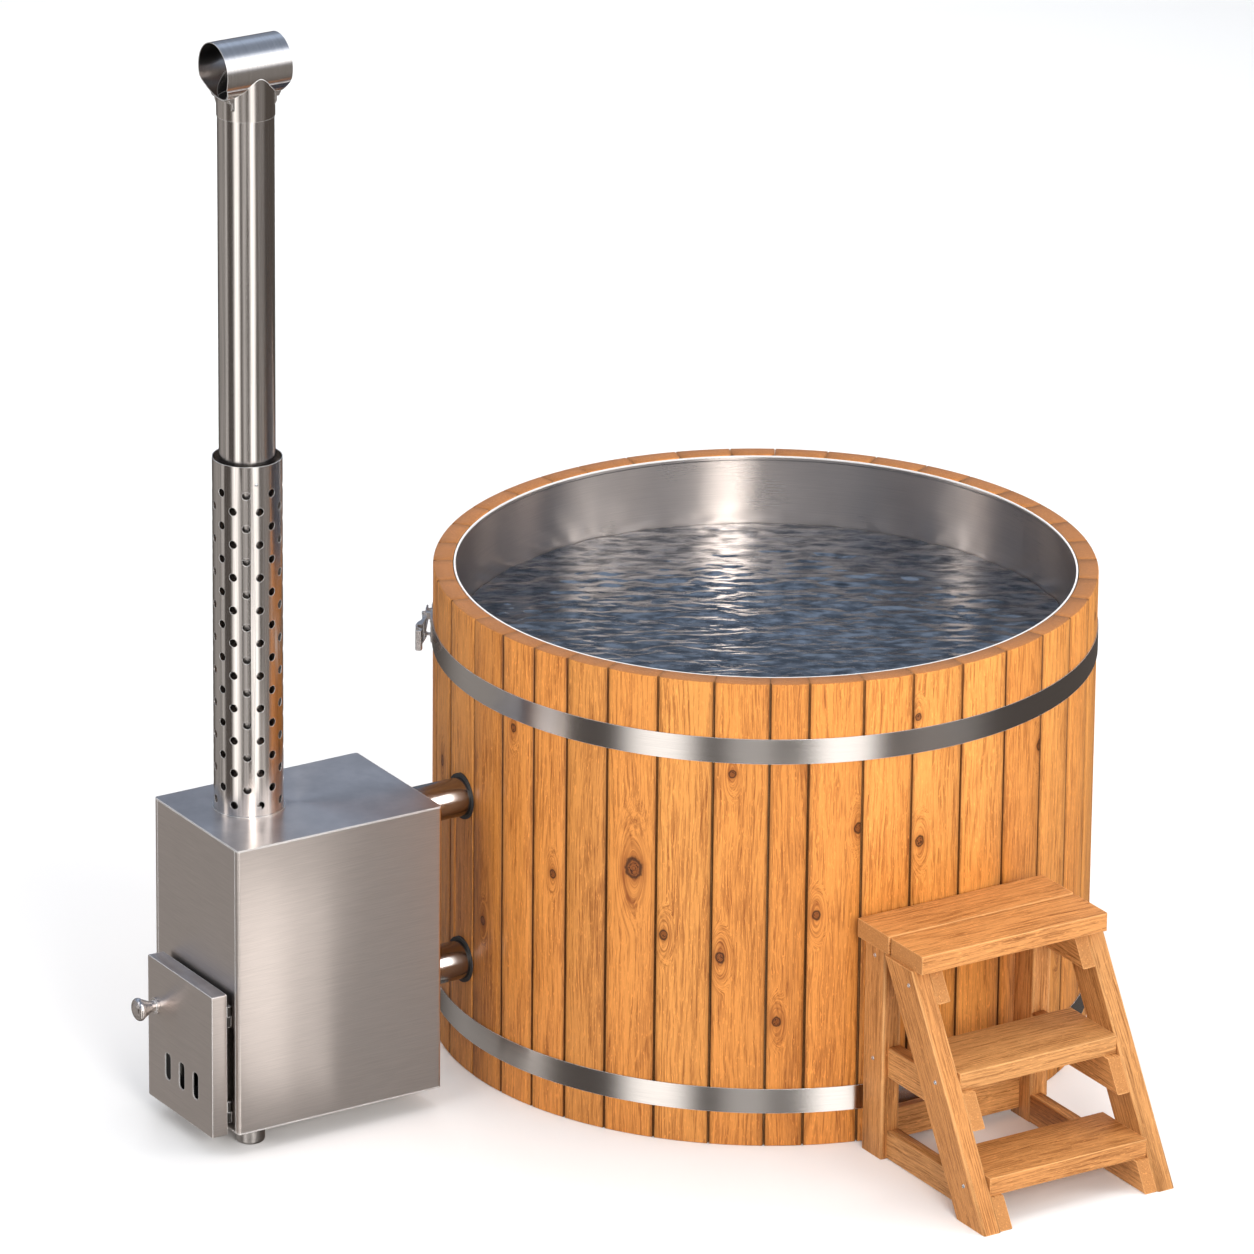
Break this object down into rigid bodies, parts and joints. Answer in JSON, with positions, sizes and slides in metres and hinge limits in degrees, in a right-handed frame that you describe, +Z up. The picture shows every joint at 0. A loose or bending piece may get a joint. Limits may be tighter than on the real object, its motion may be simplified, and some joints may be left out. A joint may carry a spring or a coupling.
{
  "type": "wooden hot tub",
  "caption": "Round stave hot tub with steel hoops and liner, an outside wood-fired stove joined by circulation pipes, a guarded chimney with a cowl, and loose wooden steps.",
  "frame": {"origin": "on the tub's axis, at the underside of the middle bearer, where the tub stands on the floor", "axes": "+Z up; +X from the stove to the tub, along the circulation pipes; the steps stand on the -Y side"},
  "size_m": [2.4348, 2.2943, 2.681],
  "materials": {
    "wood": "oiled softwood, vertical grain",
    "wood_pale": "plain softwood",
    "steel_liner": "brushed sheet",
    "steel_band": "brushed band",
    "steel_latch": "pressed steel",
    "steel_pipe": "polished tube",
    "ring_rubber": "black rubber",
    "brass": "turned brass",
    "valve_steel": "turned and polished",
    "lever_red": "dipped red",
    "steel_sheet": "brushed sheet, grain level",
    "steel_dark": "mill finish",
    "iron": "raw casting",
    "seal_rope": "braided glass rope",
    "steel_knob": "turned",
    "steel_polished": "polished tube",
    "wood_steps": "oiled softwood, grain along the board",
    "screw_steel": "bright screws"
  },
  "bodies": {
    "tub": {"staves": "wood", "floor_boards": "wood_pale", "bearers": "wood_pale", "bench_seat": "wood_pale", "bench_legs": "wood_pale", "liner": "steel_liner", "upper_hoop": "steel_band", "lower_hoop": "steel_band", "hoop_rivets": "steel_band", "latch_bases": "steel_latch", "latch_keepers": "steel_latch", "lever_pins": "steel_latch", "upper_pipe": "steel_pipe", "lower_pipe": "steel_pipe", "pipe_flanges": "steel_pipe", "pipe_rings": "ring_rubber", "drain_tube": "brass", "valve_body": "brass", "drain_outlet": "brass", "stove_wrap": "steel_sheet", "front_panel": "steel_sheet", "top_plate": "steel_sheet", "base_plate": "steel_sheet", "firebox": "steel_dark", "stove_feet": "steel_dark", "hinge_leaves": "steel_dark", "hinge_pins": "steel_dark", "door_catch": "steel_dark", "grate": "iron", "flue_collar": "steel_polished", "flue_lower": "steel_polished", "flue_upper": "steel_polished", "guard": "steel_polished", "guard_spacers": "steel_polished", "cowl_neck": "steel_polished", "cowl": "steel_polished", "top_tread": "wood_steps", "middle_tread": "wood_steps", "bottom_tread": "wood_steps", "step_stringers": "wood_steps", "step_posts": "wood_steps", "step_rails": "wood_steps", "rear_rail": "wood_steps", "step_screws": "screw_steel"},
    "upper_latch_lever": {"upper_lever": "steel_latch", "upper_bail_pin": "steel_latch"},
    "lower_latch_lever": {"lower_lever": "steel_latch", "lower_bail_pin": "steel_latch"},
    "upper_latch_bail": {"upper_bail": "steel_latch"},
    "lower_latch_bail": {"lower_bail": "steel_latch"},
    "drain_handle": {"valve_ball": "valve_steel", "valve_stem": "valve_steel", "valve_lever": "lever_red"},
    "stove_door": {"door_skin": "steel_sheet", "door_plate": "steel_dark", "door_seal": "seal_rope", "door_knuckles": "steel_dark"},
    "door_latch": {"door_knob": "steel_knob", "door_tongue": "steel_dark"}
  },
  "joints": [
    {"name": "upper_lever_swing", "type": "hinge", "parent": "tub", "child": "upper_latch_lever", "pos_m": [-0.6899, 0.444, 1.008], "axis": [0, 0, -1], "range_deg": [0, 110]},
    {"name": "upper_bail_swing", "type": "hinge", "parent": "upper_latch_lever", "child": "upper_latch_bail", "pos_m": [-0.70202, 0.4232, 1.008], "axis": [0, 0, 1], "range_deg": [0, 110]},
    {"name": "lower_lever_swing", "type": "hinge", "parent": "tub", "child": "lower_latch_lever", "pos_m": [-0.6899, 0.444, 0.117], "axis": [0, 0, -1], "range_deg": [0, 110]},
    {"name": "lower_bail_swing", "type": "hinge", "parent": "lower_latch_lever", "child": "lower_latch_bail", "pos_m": [-0.70202, 0.4232, 0.117], "axis": [0, 0, 1], "range_deg": [0, 110]},
    {"name": "drain_turn", "type": "hinge", "parent": "tub", "child": "drain_handle", "pos_m": [0, 0.853, 0.186], "axis": [0, 0, 1], "range_deg": [0, 90]},
    {"name": "door_swing", "type": "hinge", "parent": "tub", "child": "stove_door", "pos_m": [-1.527, -0.062, 0.2255], "axis": [0, 0, 1], "range_deg": [0, 90]},
    {"name": "knob_turn", "type": "hinge", "parent": "stove_door", "child": "door_latch", "pos_m": [-1.569, 0.202, 0.289], "axis": [1, 0, 0], "range_deg": [-90, 0]}
  ],
  "couplings": [
    {"joint": "upper_bail_swing", "follows": "upper_lever_swing", "ratio": 1},
    {"joint": "lower_bail_swing", "follows": "lower_lever_swing", "ratio": 1}
  ]
}
